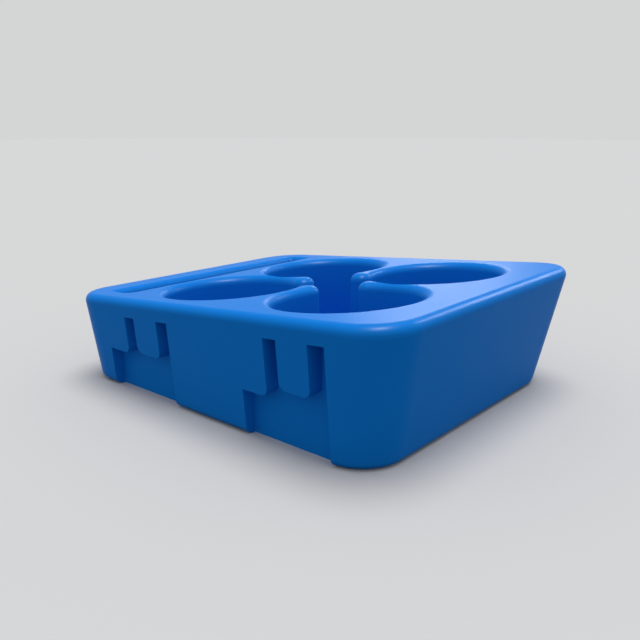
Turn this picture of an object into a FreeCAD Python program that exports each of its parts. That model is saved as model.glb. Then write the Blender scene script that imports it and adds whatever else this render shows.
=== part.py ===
"""Cup carrier: a one-piece moulded block with four cup wells, a long slot and two stepped notches.

Frame: millimetres. +X runs along the notched front face towards the higher end, +Y goes away from
the front face to the back, +Z is up. The origin is the middle of the footprint, on the base.
"""

import FreeCAD, Part

import math
import os
from collections import namedtuple

# Cup wells, two by two, open to one another at the middle
WELL_DIAMETER = 91.0
WALL_BETWEEN_X = 9.5           # thinnest part of the wall between two wells side by side along X
WALL_BETWEEN_Y = 5.5
FRONT_WALL_END = 20.0          # middle of the wells to the round end of the wall that comes from the front
BACK_WALL_END = 23.5
LOW_WALL_END = 20.5
HIGH_WALL_END = 22.8
RIM_RADIUS = 5.5               # round rims of the wells and of the long slot
FLOOR_THICKNESS = 6.0

# Long slot beside the wells
SLOT_WIDTH = 18.0
SLOT_CORNER_RADIUS = 3.0
SLOT_FLOOR_HEIGHT = 25.0       # above the base

# Walls around the wells and the slot, from their openings to where the outer walls reach the base
FRONT_WALL = 12.2
BACK_WALL = 11.1
HIGH_END_WALL = 15.8
WELL_TO_SLOT_WALL = 11.3
LOW_END_WALL = 21.0
SLOT_FRONT_WALL = 14.9
SLOT_BACK_WALL = 13.9

# Block
BASE_LENGTH = LOW_END_WALL + SLOT_WIDTH + WELL_TO_SLOT_WALL + 2 * WELL_DIAMETER + WALL_BETWEEN_X + HIGH_END_WALL
BASE_DEPTH = FRONT_WALL + 2 * WELL_DIAMETER + WALL_BETWEEN_Y + BACK_WALL
MID_HEIGHT = 71.4              # base to top face, above the origin
TOP_TILT_DEG = 4.8             # the top face climbs towards +X
LOW_END_LEAN_DEG = 7.1         # each wall leans out going up
HIGH_END_LEAN_DEG = 10.2
FRONT_LEAN_DEG = 5.0
BACK_LEAN_DEG = 7.8
CORNER_RADIUS = 28.9           # upright corners, the same from base to top
EDGE_RADIUS = 5.5              # round edges of the base and of the top face

# Stepped notches in the front face. Each has a tab, a slot, a tongue and another slot, from left
# to right. The tab and the tongue end above the base, and the slots rise between them.
Notch = namedtuple("Notch", "tab slot tongue end_slot tab_height tongue_height")
LOW_NOTCH = Notch(tab=21.2, slot=10.1, tongue=23.9, end_slot=10.8, tab_height=27.5, tongue_height=30.5)
HIGH_NOTCH = Notch(tab=19.6, slot=9.8, tongue=22.4, end_slot=11.6, tab_height=29.1, tongue_height=36.0)
LOW_END_TO_NOTCH = 37.6        # from the foot of the low end to its notch
HIGH_END_TO_NOTCH = 25.5
NOTCH_DEPTH = 6.5              # from the foot of the front wall straight in
NOTCH_SLOT_BELOW_TOP = 12.6    # top of each narrow slot under the top face
NOTCH_CORNER_RADIUS = 5.0      # lower corners of the tabs and tongues

CLEAR = 20.0                   # how far a cutter reaches past the block
LIP = 1.0                      # how far a rim cutter stands above the top face
RIM_OVERLAP = 1.5              # how far a rim cutter reaches into the opening
MATCH = 1e-3                   # two places closer than this are the same
FULL_TURN = 2 * math.pi

Line = namedtuple("Line", "start end")
Arc = namedtuple("Arc", "centre radius angle sweep")


def tan_deg(angle):
    """Tangent of an angle in degrees."""
    return math.tan(math.radians(angle))


def point(x, y, z=0.0):
    """Shorthand for a vector."""
    return FreeCAD.Vector(x, y, z)


def top_height(x):
    """Height of the tilted top face at a place along X."""
    return MID_HEIGHT + tan_deg(TOP_TILT_DEG) * x


def wells_middle():
    """Place midway between the four wells."""
    return point(BASE_LENGTH / 2 - HIGH_END_WALL - WELL_DIAMETER - WALL_BETWEEN_X / 2,
                 -BASE_DEPTH / 2 + FRONT_WALL + WELL_DIAMETER + WALL_BETWEEN_Y / 2)


def on_arc(arc, share):
    """Point on an arc, from 0 at its start to 1 at its end."""
    angle = arc.angle + share * arc.sweep
    return arc.centre + point(arc.radius * math.cos(angle), arc.radius * math.sin(angle))


def edge_of(part):
    """Edge of one line or arc of an outline."""
    if isinstance(part, Line):
        return Part.LineSegment(part.start, part.end).toShape()
    return Part.Arc(on_arc(part, 0), on_arc(part, 0.5), on_arc(part, 1)).toShape()


def outline_wire(outline, height=0.0):
    """Closed wire of an outline, lifted to a height."""
    wire = Part.Wire([edge_of(part) for part in outline])
    wire.translate(point(0, 0, height))
    return wire


def rounded_rectangle(x0, x1, y0, y1, radius):
    """Outline of a rectangle with round corners, anticlockwise."""
    centres = ((x1 - radius, y1 - radius), (x0 + radius, y1 - radius),
               (x0 + radius, y0 + radius), (x1 - radius, y0 + radius))
    quarter = math.pi / 2
    corners = [Arc(point(*centre), radius, i * quarter, quarter) for i, centre in enumerate(centres)]
    outline = []
    for corner, following in zip(corners, corners[1:] + corners[:1]):
        outline += [corner, Line(on_arc(corner, 1), on_arc(following, 0))]
    return outline


def tapered_block():
    """Block with four leaning walls, a tilted top face and round edges all over."""
    half_length, half_depth, tilt = BASE_LENGTH / 2, BASE_DEPTH / 2, tan_deg(TOP_TILT_DEG)
    low_lean, high_lean = tan_deg(LOW_END_LEAN_DEG), tan_deg(HIGH_END_LEAN_DEG)
    low_height = top_height(-half_length) / (1 + tilt * low_lean)
    high_height = top_height(half_length) / (1 - tilt * high_lean)

    def corners(end, lean, height):
        """Front and back corners of one end at a height."""
        x = end + lean * height
        return (point(x, -half_depth - tan_deg(FRONT_LEAN_DEG) * height, height),
                point(x, half_depth + tan_deg(BACK_LEAN_DEG) * height, height))

    low_front, low_back = corners(-half_length, -low_lean, 0)
    high_front, high_back = corners(half_length, high_lean, 0)
    low_front_top, low_back_top = corners(-half_length, -low_lean, low_height)
    high_front_top, high_back_top = corners(half_length, high_lean, high_height)
    sides = ((low_front, low_back, high_back, high_front),
             (low_front_top, high_front_top, high_back_top, low_back_top),
             (low_front, high_front, high_front_top, low_front_top),
             (high_front, high_back, high_back_top, high_front_top),
             (high_back, low_back, low_back_top, high_back_top),
             (low_back, low_front, low_front_top, low_back_top))
    faces = [Part.Face(Part.makePolygon(list(side) + [side[0]])) for side in sides]
    block = Part.Solid(Part.makeShell(faces))

    def lies_on_base(edge):
        return all(abs(end.Point.z) < MATCH for end in edge.Vertexes)

    def lies_on_top(edge):
        return all(abs(end.Point.z - top_height(end.Point.x)) < MATCH for end in edge.Vertexes)

    uprights = [edge for edge in block.Edges if not lies_on_base(edge) and not lies_on_top(edge)]
    block = block.makeFillet(CORNER_RADIUS, uprights)
    return block.makeFillet(EDGE_RADIUS, [edge for edge in block.Edges if lies_on_base(edge) or lies_on_top(edge)])


def wall_end_radius(along, across, wall_end):
    """Radius of the round end that meets two wells without a corner and stops short of their middle."""
    well_radius = WELL_DIAMETER / 2
    spare = along - wall_end
    return (across ** 2 + spare ** 2 - well_radius ** 2) / (2 * (well_radius + spare))


def wells_outline():
    """Outline of the four wells and the gap between them: eight arcs that meet without a corner."""
    half_x, half_y = (WELL_DIAMETER + WALL_BETWEEN_X) / 2, (WELL_DIAMETER + WALL_BETWEEN_Y) / 2
    middle = wells_middle()
    wells = [middle + point(*at) for at in
             ((half_x, half_y), (-half_x, half_y), (-half_x, -half_y), (half_x, -half_y))]
    wall_ends = []
    for direction, along, across, reach in ((point(0, 1), half_y, half_x, BACK_WALL_END),
                                            (point(-1, 0), half_x, half_y, LOW_WALL_END),
                                            (point(0, -1), half_y, half_x, FRONT_WALL_END),
                                            (point(1, 0), half_x, half_y, HIGH_WALL_END)):
        radius = wall_end_radius(along, across, reach)
        wall_ends.append((middle + direction * (reach + radius), radius))

    def bearing(start, end):
        return math.atan2(end.y - start.y, end.x - start.x)

    outline = []
    for i, well in enumerate(wells):
        before, (after, end_radius), next_well = wall_ends[i - 1][0], wall_ends[i], wells[(i + 1) % 4]
        start = bearing(well, before)
        outline.append(Arc(well, WELL_DIAMETER / 2, start, (bearing(well, after) - start) % FULL_TURN))
        start = bearing(after, well)
        sweep = (bearing(after, next_well) - start) % FULL_TURN - FULL_TURN
        outline.append(Arc(after, end_radius, start, sweep))
    return outline


def slot_outline():
    """Outline of the long slot."""
    left = -BASE_LENGTH / 2 + LOW_END_WALL
    return rounded_rectangle(left, left + SLOT_WIDTH, -BASE_DEPTH / 2 + SLOT_FRONT_WALL,
                             BASE_DEPTH / 2 - SLOT_BACK_WALL, SLOT_CORNER_RADIUS)


def shaft_cutter(outline, floor_height):
    """Upright cutter of an opening, from its level floor to above the top face."""
    return Part.Face(outline_wire(outline, floor_height)).extrude(point(0, 0, top_height(BASE_LENGTH)))


def rim_piece(part, radius):
    """What a round rim takes off along one line or arc of an outline, with the top face at height 0."""
    if isinstance(part, Line):
        start = part.start
        along = (part.end - part.start).normalize()
        outward = point(along.y, -along.x)
    else:
        start = on_arc(part, 0)
        outward = (start - part.centre).normalize() * math.copysign(1, part.sweep)
    inside, tip = start - outward * RIM_OVERLAP, start + outward * radius
    bottom, top = point(0, 0, -radius), point(0, 0, LIP)
    middle = start + (outward + point(0, 0, -1)) * (radius * (1 - math.sqrt(0.5)))
    arc = Part.Arc(start + bottom, middle, tip)
    profile = Part.Wire([arc.toShape()] + Part.makePolygon(
        [tip, tip + top, inside + top, inside + bottom, start + bottom]).Edges)
    if isinstance(part, Line):
        return Part.Face(profile).extrude(part.end - part.start)
    return Part.Face(profile).revolve(part.centre, point(0, 0, 1), math.degrees(part.sweep))


def rim_cutter(outline):
    """Ring that rounds the rim of an opening. It is slanted with the top face, and its walls stay upright."""
    wall_ends = [part.radius for part in outline if isinstance(part, Arc) and part.sweep < 0]
    radius = min([RIM_RADIUS] + [0.9 * wall_end for wall_end in wall_ends])
    pieces = [rim_piece(part, radius) for part in outline]
    ring = pieces[0]
    for piece in pieces[1:]:
        ring = ring.fuse(piece)
    follow_top = FreeCAD.Matrix()
    follow_top.A31 = tan_deg(TOP_TILT_DEG)
    follow_top.A34 = MID_HEIGHT
    return ring.removeSplitter().transformGeometry(follow_top)


def notch_width(notch):
    """Width of a notch along X."""
    return notch.tab + notch.slot + notch.tongue + notch.end_slot


def notch_cutter(notch, left):
    """Cutter of one notch: a pocket up from the base, with a tab and a tongue left standing in it."""
    xs = [left]
    for width in (notch.tab, notch.slot, notch.tongue, notch.end_slot):
        xs.append(xs[-1] + width)
    slot_top = [top_height(x) - NOTCH_SLOT_BELOW_TOP for x in xs]
    front = -BASE_DEPTH / 2 - CLEAR
    rounded = [(xs[1], notch.tab_height), (xs[2], notch.tongue_height), (xs[3], notch.tongue_height)]
    corners = [(xs[0], -CLEAR), (xs[0], notch.tab_height), rounded[0], (xs[1], slot_top[1]),
               (xs[2], slot_top[2]), rounded[1], rounded[2], (xs[3], slot_top[3]),
               (xs[4], slot_top[4]), (xs[4], -CLEAR)]
    face = Part.Face(Part.makePolygon([point(x, front, z) for x, z in corners + corners[:1]]))
    cutter = face.extrude(point(0, NOTCH_DEPTH + CLEAR, 0))
    corner_edges = []
    for edge in cutter.Edges:
        ends = [vertex.Point for vertex in edge.Vertexes]
        if abs(ends[0].y - ends[1].y) < MATCH:
            continue
        if any(math.hypot(ends[0].x - x, ends[0].z - z) < MATCH for x, z in rounded):
            corner_edges.append(edge)
    return cutter.makeFillet(NOTCH_CORNER_RADIUS, corner_edges)


def carrier_body():
    """The whole carrier."""
    body = tapered_block()
    for outline, floor_height in ((wells_outline(), FLOOR_THICKNESS), (slot_outline(), SLOT_FLOOR_HEIGHT)):
        body = body.cut(shaft_cutter(outline, floor_height)).cut(rim_cutter(outline))
    body = body.cut(notch_cutter(LOW_NOTCH, -BASE_LENGTH / 2 + LOW_END_TO_NOTCH))
    body = body.cut(notch_cutter(HIGH_NOTCH, BASE_LENGTH / 2 - HIGH_END_TO_NOTCH - notch_width(HIGH_NOTCH)))
    return body.Solids[0]


def main():
    """Write the carrier as one STEP file."""
    os.makedirs("parts", exist_ok=True)
    body = carrier_body()
    box = body.optimalBoundingBox()
    print(f"carrier_body valid {body.isValid()} volume {body.Volume / 1000:.1f} cm3 faces {len(body.Faces)} "
          f"box {box.XLength:.1f} x {box.YLength:.1f} x {box.ZLength:.1f} mm")
    body.exportStep("parts/carrier_body.step")


main()
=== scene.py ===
"""Looks of a one-piece blue cup carrier: satin moulded plastic under soft studio light.

Everything is in metres, in the frame of the solid model: +X towards the higher end, +Y from the
notched front face to the back, +Z up, with the origin in the middle of the footprint.
"""

import logging
import math
from dataclasses import dataclass
from enum import Enum

import bpy
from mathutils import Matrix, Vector

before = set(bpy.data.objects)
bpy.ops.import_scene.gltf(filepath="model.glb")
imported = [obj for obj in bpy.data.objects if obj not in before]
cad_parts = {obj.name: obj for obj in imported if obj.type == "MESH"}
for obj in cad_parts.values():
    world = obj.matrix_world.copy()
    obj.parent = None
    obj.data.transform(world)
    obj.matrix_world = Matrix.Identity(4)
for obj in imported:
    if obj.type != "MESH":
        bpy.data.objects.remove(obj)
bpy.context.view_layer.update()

log = logging.getLogger("cup_carrier")

Colour = tuple[float, float, float]
Point = tuple[float, float, float]


class RayShare(Enum):
    """Outputs of the Light Path node that show the backdrop instead of lighting the carrier."""

    CAMERA = "Is Camera Ray"
    GLOSSY = "Is Glossy Ray"
    TRANSMISSION = "Is Transmission Ray"


def opaque(colour: Colour) -> tuple[float, float, float, float]:
    """Give a colour an alpha of one."""
    return (*colour, 1.0)


def aim(thing: bpy.types.Object, target: Vector) -> None:
    """Turn a lamp so that it shines at a point.

    Args:
        thing: The lamp's object.
        target: Point to look at, in metres.
    """
    thing.rotation_euler = (target - thing.location).to_track_quat("-Z", "Y").to_euler()


def new_object(name: str, data: bpy.types.ID) -> bpy.types.Object:
    """Link new data to the scene.

    Args:
        name: Name of the object.
        data: Mesh, light or camera data.

    Returns:
        The linked object.
    """
    thing = bpy.data.objects.new(name, data)
    bpy.context.scene.collection.objects.link(thing)
    return thing


def seen_rays(nodes: bpy.types.Nodes, links: bpy.types.NodeLinks) -> bpy.types.NodeSocket:
    """Add up the outputs named in RayShare, so that one socket is 1 for any of those rays.

    Args:
        nodes: Nodes of the material or world.
        links: Links of the same tree.

    Returns:
        The socket with the clamped sum.
    """
    path = nodes.new("ShaderNodeLightPath")
    first, *others = RayShare
    total = path.outputs[first.value]
    for kind in others:
        add = nodes.new("ShaderNodeMath")
        add.operation = "ADD"
        add.use_clamp = True
        links.new(total, add.inputs[0])
        links.new(path.outputs[kind.value], add.inputs[1])
        total = add.outputs[0]
    return total


@dataclass(frozen=True)
class MouldGrain:
    """Node group with the faint unevenness of a moulded skin.

    Attributes:
        name: Name of the group.
        grain_scale: Grains per metre.
        grain_detail: Finer steps within a grain.
        patch_scale: Wide patches of sheen per metre.
        patch_detail: Finer steps within a patch.
        noise_middle: Middle value of the noise, where the roughness stays as given.
    """

    name: str = "mould_grain"
    grain_scale: float = 1400.0
    grain_detail: float = 2.0
    patch_scale: float = 14.0
    patch_detail: float = 3.0
    noise_middle: float = 0.5

    def build(self) -> bpy.types.ShaderNodeTree:
        """Make the group once.

        Returns:
            The node group, with a roughness and a height as its outputs.
        """
        made = bpy.data.node_groups.get(self.name)
        if made:
            return made
        group = bpy.data.node_groups.new(self.name, "ShaderNodeTree")
        for name, way in (("Roughness", "INPUT"), ("Spread", "INPUT"),
                          ("Roughness", "OUTPUT"), ("Height", "OUTPUT")):
            group.interface.new_socket(name, in_out=way, socket_type="NodeSocketFloat")

        nodes, links = group.nodes, group.links
        given = nodes.new("NodeGroupInput")
        result = nodes.new("NodeGroupOutput")
        place = nodes.new("ShaderNodeTexCoord")

        patches = nodes.new("ShaderNodeTexNoise")
        patches.inputs["Scale"].default_value = self.patch_scale
        patches.inputs["Detail"].default_value = self.patch_detail
        links.new(place.outputs["Object"], patches.inputs["Vector"])
        centred = nodes.new("ShaderNodeMath")
        centred.operation = "SUBTRACT"
        centred.inputs[1].default_value = self.noise_middle
        links.new(patches.outputs["Fac"], centred.inputs[0])
        spread_out = nodes.new("ShaderNodeMath")
        spread_out.operation = "MULTIPLY_ADD"
        links.new(centred.outputs[0], spread_out.inputs[0])
        links.new(given.outputs["Spread"], spread_out.inputs[1])
        links.new(given.outputs["Roughness"], spread_out.inputs[2])
        links.new(spread_out.outputs[0], result.inputs["Roughness"])

        grain = nodes.new("ShaderNodeTexNoise")
        grain.inputs["Scale"].default_value = self.grain_scale
        grain.inputs["Detail"].default_value = self.grain_detail
        links.new(place.outputs["Object"], grain.inputs["Vector"])
        links.new(grain.outputs["Fac"], result.inputs["Height"])
        return group


@dataclass(frozen=True)
class SatinPlastic:
    """Moulded plastic in one colour with a soft sheen.

    Attributes:
        name: Name of the material.
        colour: Base colour, linear.
        roughness: Middle roughness of the skin.
        specular: Level of its reflections, kept far below the 0.5 of a bare plastic, so that
            pale surroundings don't grey the blue.
        spread: How far the roughness goes from patch to patch.
        grain_depth: Height of the grain, in metres.
        grain_strength: Share of the grain that shows.
    """

    name: str = "blue_satin_plastic"
    colour: Colour = (0.0038, 0.185, 0.65)
    roughness: float = 0.36
    specular: float = 0.02
    spread: float = 0.06
    grain_depth: float = 0.00005
    grain_strength: float = 0.12

    def build(self) -> bpy.types.Material:
        """Make the material.

        Returns:
            The finished material.
        """
        material = bpy.data.materials.new(self.name)
        material.use_nodes = True
        nodes, links = material.node_tree.nodes, material.node_tree.links
        shader = nodes["Principled BSDF"]
        shader.inputs["Base Color"].default_value = opaque(self.colour)
        shader.inputs["Specular IOR Level"].default_value = self.specular
        skin = nodes.new("ShaderNodeGroup")
        skin.node_tree = MouldGrain().build()
        skin.inputs["Roughness"].default_value = self.roughness
        skin.inputs["Spread"].default_value = self.spread
        links.new(skin.outputs["Roughness"], shader.inputs["Roughness"])
        bump = nodes.new("ShaderNodeBump")
        bump.inputs["Strength"].default_value = self.grain_strength
        bump.inputs["Distance"].default_value = self.grain_depth
        links.new(skin.outputs["Height"], bump.inputs["Height"])
        links.new(bump.outputs["Normal"], shader.inputs["Normal"])
        return material


@dataclass(frozen=True)
class StudioFloorPaint:
    """Pale matt floor that looks light but throws little light back up at the carrier.

    Attributes:
        name: Name of the material.
        seen: Colour that the camera and reflections see.
        thrown: Colour with which the floor lights the carrier.
        roughness: Roughness of the floor.
        specular: Level of its reflections.
    """

    name: str = "pale_floor_paint"
    seen: Colour = (0.54, 0.543, 0.547)
    thrown: Colour = (0.21, 0.21, 0.218)
    roughness: float = 1.0
    specular: float = 0.0

    def build(self) -> bpy.types.Material:
        """Make the material.

        Returns:
            The finished material.
        """
        material = bpy.data.materials.new(self.name)
        material.use_nodes = True
        nodes, links = material.node_tree.nodes, material.node_tree.links
        shader = nodes["Principled BSDF"]
        shader.inputs["Roughness"].default_value = self.roughness
        shader.inputs["Specular IOR Level"].default_value = self.specular
        mix = nodes.new("ShaderNodeMix")
        mix.data_type = "RGBA"
        mix.inputs["A"].default_value = opaque(self.thrown)
        mix.inputs["B"].default_value = opaque(self.seen)
        links.new(seen_rays(nodes, links), mix.inputs["Factor"])
        links.new(mix.outputs["Result"], shader.inputs["Base Color"])
        return material


@dataclass
class CarrierBody:
    """The carrier itself: the solid model's own surface in its finish.

    Attributes:
        node: Name of the solid model's node.
        finish: Finish of the whole piece.
    """

    node: str = "carrier_body"
    finish: SatinPlastic = SatinPlastic()

    def build(self) -> bpy.types.Object:
        """Dress the piece.

        Returns:
            The dressed object.
        """
        body = bpy.data.objects[self.node]
        material = self.finish.build()
        for slot in body.material_slots:
            slot.material = material
        if not body.material_slots:
            body.data.materials.append(material)
        return body


@dataclass
class SkyLamp:
    """A broad, even light from far above.

    Attributes:
        name: Name of the lamp.
        strength: Irradiance, in watts per square metre.
        spread_deg: Angle that the light fills.
        lean_deg: How far it stands from straight overhead, towards the back.
    """

    name: str = "sky_lamp"
    strength: float = 2.1
    spread_deg: float = 38.0
    lean_deg: float = 8.0

    def build(self) -> bpy.types.Object:
        """Hang the lamp.

        Returns:
            The lamp's object.
        """
        light = bpy.data.lights.new(self.name, "SUN")
        light.energy = self.strength
        light.angle = math.radians(self.spread_deg)
        lamp = new_object(self.name, light)
        lamp.rotation_euler = (-math.radians(self.lean_deg), 0.0, 0.0)
        return lamp


@dataclass
class SheenLamp:
    """A square lamp that shows only as a sheen on the carrier's skin.

    Attributes:
        name: Name of the lamp.
        place: Where it stands, in metres.
        size: Side of the square, in metres.
        watts: Power.
        aimed_at: Height over the origin that it shines at, in metres.
    """

    name: str
    place: Point
    size: float
    watts: float
    aimed_at: float = 0.05

    def build(self) -> bpy.types.Object:
        """Stand the lamp up.

        Returns:
            The lamp's object.
        """
        light = bpy.data.lights.new(self.name, "AREA")
        light.shape = "SQUARE"
        light.size = self.size
        light.energy = self.watts
        lamp = new_object(self.name, light)
        lamp.location = self.place
        lamp.visible_diffuse = False
        aim(lamp, Vector((0.0, 0.0, self.aimed_at)))
        return lamp


@dataclass
class Studio:
    """Floor, world and lamps.

    Attributes:
        floor_size: Side of the floor, in metres.
        backdrop: Colour of the world where it is seen.
        backdrop_strength: Its strength, where 1 shows the colour as written.
        ambient_colour: Colour of the world's light on the carrier.
        ambient: Strength of that light.
    """

    floor_size: float = 40.0
    backdrop: Colour = (0.66, 0.664, 0.668)
    backdrop_strength: float = 1.0
    ambient_colour: Colour = (1.0, 1.0, 1.0)
    ambient: float = 0.6

    def floor(self) -> bpy.types.Object:
        """Lay the floor.

        Returns:
            The floor.
        """
        half = self.floor_size / 2
        mesh = bpy.data.meshes.new("studio_floor")
        corners = [(-half, -half, 0.0), (half, -half, 0.0), (half, half, 0.0), (-half, half, 0.0)]
        mesh.from_pydata(corners, [], [tuple(range(len(corners)))])
        mesh.materials.append(StudioFloorPaint().build())
        floor = new_object("studio_floor", mesh)
        return floor

    def world(self) -> bpy.types.World:
        """Light the surroundings evenly.

        Returns:
            The scene's world.
        """
        world = bpy.data.worlds.new("studio_world")
        bpy.context.scene.world = world
        world.use_nodes = True
        nodes, links = world.node_tree.nodes, world.node_tree.links
        light = nodes["Background"]
        light.inputs["Color"].default_value = opaque(self.ambient_colour)
        light.inputs["Strength"].default_value = self.ambient
        seen = nodes.new("ShaderNodeBackground")
        seen.inputs["Color"].default_value = opaque(self.backdrop)
        seen.inputs["Strength"].default_value = self.backdrop_strength
        mix = nodes.new("ShaderNodeMixShader")
        links.new(seen_rays(nodes, links), mix.inputs[0])
        links.new(light.outputs[0], mix.inputs[1])
        links.new(seen.outputs[0], mix.inputs[2])
        links.new(mix.outputs[0], nodes["World Output"].inputs["Surface"])
        return world

    def lamps(self) -> list[bpy.types.Object]:
        """Hang the even light, and the lamps for the sheen of the top, its edges and its corner.

        Returns:
            The lamps.
        """
        return [
            SkyLamp().build(),
            SheenLamp("top_sheen_lamp", place=(-0.80, 1.38, 0.62), size=0.45, watts=5.0).build(),
            SheenLamp("edge_sheen_lamp", place=(0.36, 1.33, 0.82), size=0.35, watts=19.0).build(),
            SheenLamp("corner_sheen_lamp", place=(0.40, -0.36, 1.52), size=0.35, watts=200.0).build(),
        ]

    def build(self) -> list[bpy.types.Object]:
        """Set the stage.

        Returns:
            The floor and the lamps.
        """
        self.world()
        return [self.floor(), *self.lamps()]


@dataclass
class PhotographCamera:
    """Camera that stands where the photograph was taken from.

    Attributes:
        place: Its place in metres.
        tilt_deg: Turn about its own X, 90 when level.
        heading_deg: Turn about the upright.
        focal_mm: Focal length.
        sensor_mm: Width of the sensor.
    """

    place: Point = (0.31751, -0.36357, 0.16982)
    tilt_deg: float = 75.06
    heading_deg: float = 40.66
    focal_mm: float = 39.362
    sensor_mm: float = 36.0

    def build(self) -> bpy.types.Object:
        """Set up the camera.

        Returns:
            The scene's camera.
        """
        data = bpy.data.cameras.new("photograph_camera")
        data.sensor_width = self.sensor_mm
        data.lens = self.focal_mm
        camera = new_object("photograph_camera", data)
        camera.location = self.place
        camera.rotation_euler = (math.radians(self.tilt_deg), 0.0, math.radians(self.heading_deg))
        bpy.context.scene.camera = camera
        return camera


def main() -> None:
    """Dress the carrier and set the stage."""
    logging.basicConfig(level=logging.INFO, format="%(name)s %(message)s")
    bpy.context.scene.view_settings.view_transform = "Standard"
    body = CarrierBody().build()
    log.info("%s dressed, %d faces", body.name, len(body.data.polygons))
    for thing in Studio().build():
        log.info("%s placed", thing.name)
    camera = PhotographCamera().build()
    log.info("%s set", camera.name)


if __name__ == "__main__":
    main()
